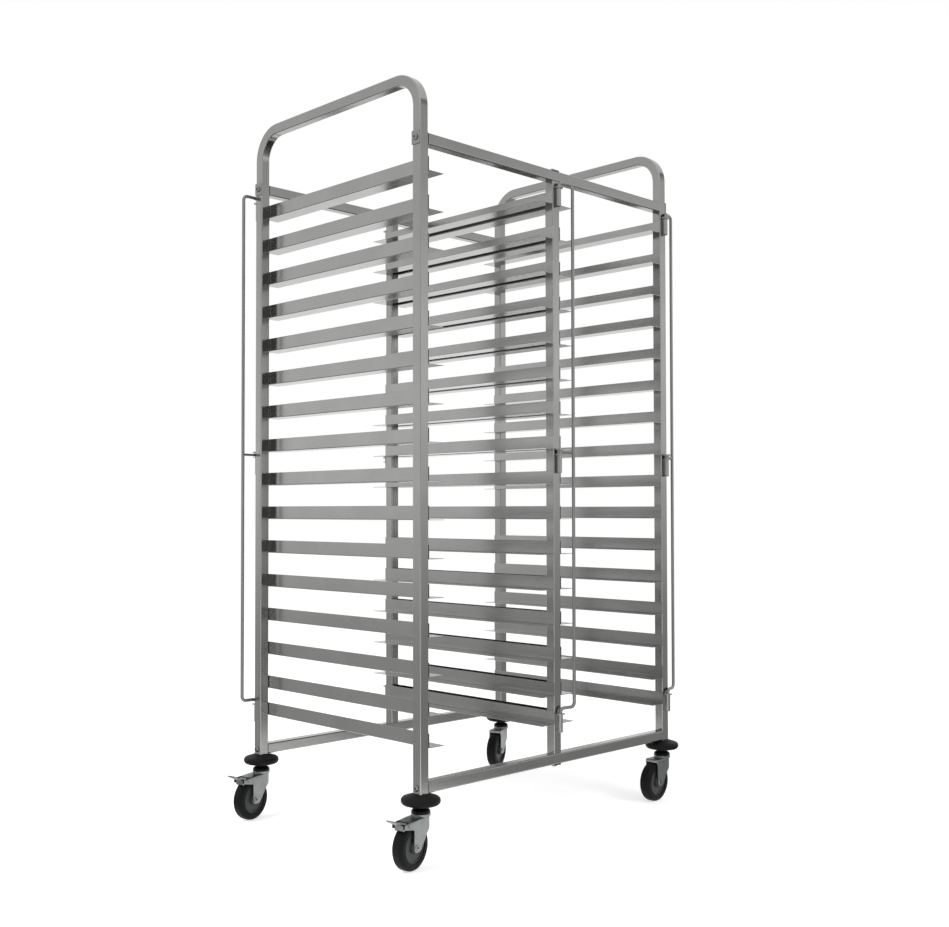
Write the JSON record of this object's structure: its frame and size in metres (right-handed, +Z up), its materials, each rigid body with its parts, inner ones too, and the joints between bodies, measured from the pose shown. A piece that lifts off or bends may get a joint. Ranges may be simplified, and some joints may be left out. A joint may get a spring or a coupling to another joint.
{
  "type": "bakery rack trolley",
  "caption": "Bakery rack trolley of square steel tube: side-by-side bays of angle runners for trays, looped end handles, swinging stop rods, and swivel casters under round bumpers.",
  "frame": {"origin": "on the floor, under the middle of the trolley's outermost points along X and Y", "axes": "+Z up; +X along the long side, from the braked casters to the plain ones; the front, with its stop rods on the middle and right posts, faces -Y"},
  "size_m": [1.0177, 0.6605, 1.7],
  "materials": {
    "frame_tube": "satin stainless steel square tube",
    "handle_tube": "satin stainless steel square tube",
    "runner_sheet": "satin stainless steel sheet",
    "joining_steel": "plain steel, hidden inside the tubes",
    "joint_plate": "satin stainless steel plate",
    "bolt_steel": "bright steel",
    "rod_steel": "bright stainless steel round bar",
    "socket_steel": "satin stainless steel, welded to the posts",
    "zinc_stem": "zinc plated steel",
    "zinc_fork": "zinc plated pressed steel",
    "axle_steel": "zinc plated steel",
    "pedal_steel": "zinc plated steel",
    "ball_steel": "polished steel",
    "hub_plastic": "dark grey moulded plastic",
    "cap_plastic": "black moulded plastic",
    "tyre_rubber": "black rubber",
    "bumper_rubber": "black rubber"
  },
  "bodies": {
    "frame": {"left_handle": "handle_tube", "right_handle": "handle_tube", "front_left_post": "frame_tube", "front_middle_post": "frame_tube", "front_right_post": "frame_tube", "rear_left_post": "frame_tube", "rear_middle_post": "frame_tube", "rear_right_post": "frame_tube", "front_top_rail": "frame_tube", "front_bottom_rail": "frame_tube", "rear_top_rail": "frame_tube", "rear_bottom_rail": "frame_tube", "left_bay_left_lower_runners": "runner_sheet", "left_bay_left_upper_runners": "runner_sheet", "left_bay_right_lower_runners": "runner_sheet", "left_bay_right_upper_runners": "runner_sheet", "right_bay_left_lower_runners": "runner_sheet", "right_bay_left_upper_runners": "runner_sheet", "right_bay_right_lower_runners": "runner_sheet", "right_bay_right_upper_runners": "runner_sheet", "handle_spigots": "joining_steel", "handle_joint_plates": "joint_plate", "rail_bolts": "bolt_steel", "tube_end_plugs": "joining_steel", "middle_post_plates": "joint_plate", "middle_post_bolts": "bolt_steel", "foot_inserts": "joining_steel", "caster_stems": "zinc_stem", "dust_caps": "cap_plastic", "bumpers": "bumper_rubber", "swivel_balls": "ball_steel", "rod_sockets": "socket_steel", "rod_keepers": "socket_steel"},
    "front_left_caster": {"front_left_fork": "zinc_fork", "front_left_axle": "axle_steel", "front_left_brake_pin": "axle_steel"},
    "front_left_wheel": {"front_left_hub": "hub_plastic", "front_left_tyre": "tyre_rubber"},
    "front_left_brake": {"front_left_brake_pedal": "pedal_steel"},
    "front_right_caster": {"front_right_fork": "zinc_fork", "front_right_axle": "axle_steel"},
    "front_right_wheel": {"front_right_hub": "hub_plastic", "front_right_tyre": "tyre_rubber"},
    "rear_left_caster": {"rear_left_fork": "zinc_fork", "rear_left_axle": "axle_steel", "rear_left_brake_pin": "axle_steel"},
    "rear_left_wheel": {"rear_left_hub": "hub_plastic", "rear_left_tyre": "tyre_rubber"},
    "rear_left_brake": {"rear_left_brake_pedal": "pedal_steel"},
    "rear_right_caster": {"rear_right_fork": "zinc_fork", "rear_right_axle": "axle_steel"},
    "rear_right_wheel": {"rear_right_hub": "hub_plastic", "rear_right_tyre": "tyre_rubber"},
    "front_middle_rod": {"front_middle_stop_rod": "rod_steel"},
    "front_right_rod": {"front_right_stop_rod": "rod_steel"},
    "rear_left_rod": {"rear_left_stop_rod": "rod_steel"},
    "rear_middle_rod": {"rear_middle_stop_rod": "rod_steel"}
  },
  "joints": [
    {"name": "front_left_swivel", "type": "hinge", "parent": "frame", "child": "front_left_caster", "pos_m": [-0.40403, -0.2875, 0.11295], "axis": [0, 0, 1], "continuous": true},
    {"name": "front_left_wheel_spin", "type": "hinge", "parent": "front_left_caster", "child": "front_left_wheel", "pos_m": [-0.44133, -0.29475, 0.05], "axis": [-0.1908, 0.9816, 0], "continuous": true},
    {"name": "front_left_brake_press", "type": "hinge", "parent": "front_left_caster", "child": "front_left_brake", "pos_m": [-0.46587, -0.29952, 0.0998], "axis": [0.1908, -0.9816, 0], "range_deg": [0, 10]},
    {"name": "front_right_swivel", "type": "hinge", "parent": "frame", "child": "front_right_caster", "pos_m": [0.46097, -0.2875, 0.11295], "axis": [0, 0, 1], "continuous": true},
    {"name": "front_right_wheel_spin", "type": "hinge", "parent": "front_right_caster", "child": "front_right_wheel", "pos_m": [0.42302, -0.28949, 0.05], "axis": [-0.0523, 0.9986, 0], "continuous": true},
    {"name": "rear_left_swivel", "type": "hinge", "parent": "frame", "child": "rear_left_caster", "pos_m": [-0.40403, 0.2875, 0.11295], "axis": [0, 0, 1], "continuous": true},
    {"name": "rear_left_wheel_spin", "type": "hinge", "parent": "rear_left_caster", "child": "rear_left_wheel", "pos_m": [-0.4412, 0.2796, 0.05], "axis": [-0.2079, 0.9781, 0], "continuous": true},
    {"name": "rear_left_brake_press", "type": "hinge", "parent": "rear_left_caster", "child": "rear_left_brake", "pos_m": [-0.46565, 0.2744, 0.0998], "axis": [0.2079, -0.9781, 0], "range_deg": [0, 10]},
    {"name": "rear_right_swivel", "type": "hinge", "parent": "frame", "child": "rear_right_caster", "pos_m": [0.46097, 0.2875, 0.11295], "axis": [0, 0, 1], "continuous": true},
    {"name": "rear_right_wheel_spin", "type": "hinge", "parent": "rear_right_caster", "child": "rear_right_wheel", "pos_m": [0.42574, 0.27326, 0.05], "axis": [-0.3746, 0.9272, 0], "continuous": true},
    {"name": "front_middle_rod_swing", "type": "hinge", "parent": "frame", "child": "front_middle_rod", "pos_m": [0.02847, -0.3075, 0.2733], "axis": [0, 0, 1], "range_deg": [-172.9, 7.1]},
    {"name": "front_right_rod_swing", "type": "hinge", "parent": "frame", "child": "front_right_rod", "pos_m": [0.46097, -0.3075, 0.2733], "axis": [0, 0, 1], "range_deg": [-196.9, 0]},
    {"name": "rear_left_rod_swing", "type": "hinge", "parent": "frame", "child": "rear_left_rod", "pos_m": [-0.40403, 0.3075, 0.2733], "axis": [0, 0, 1], "range_deg": [-182.4, 14.5]},
    {"name": "rear_middle_rod_swing", "type": "hinge", "parent": "frame", "child": "rear_middle_rod", "pos_m": [0.02847, 0.3075, 0.2733], "axis": [0, 0, 1], "range_deg": [-25, 155]}
  ]
}
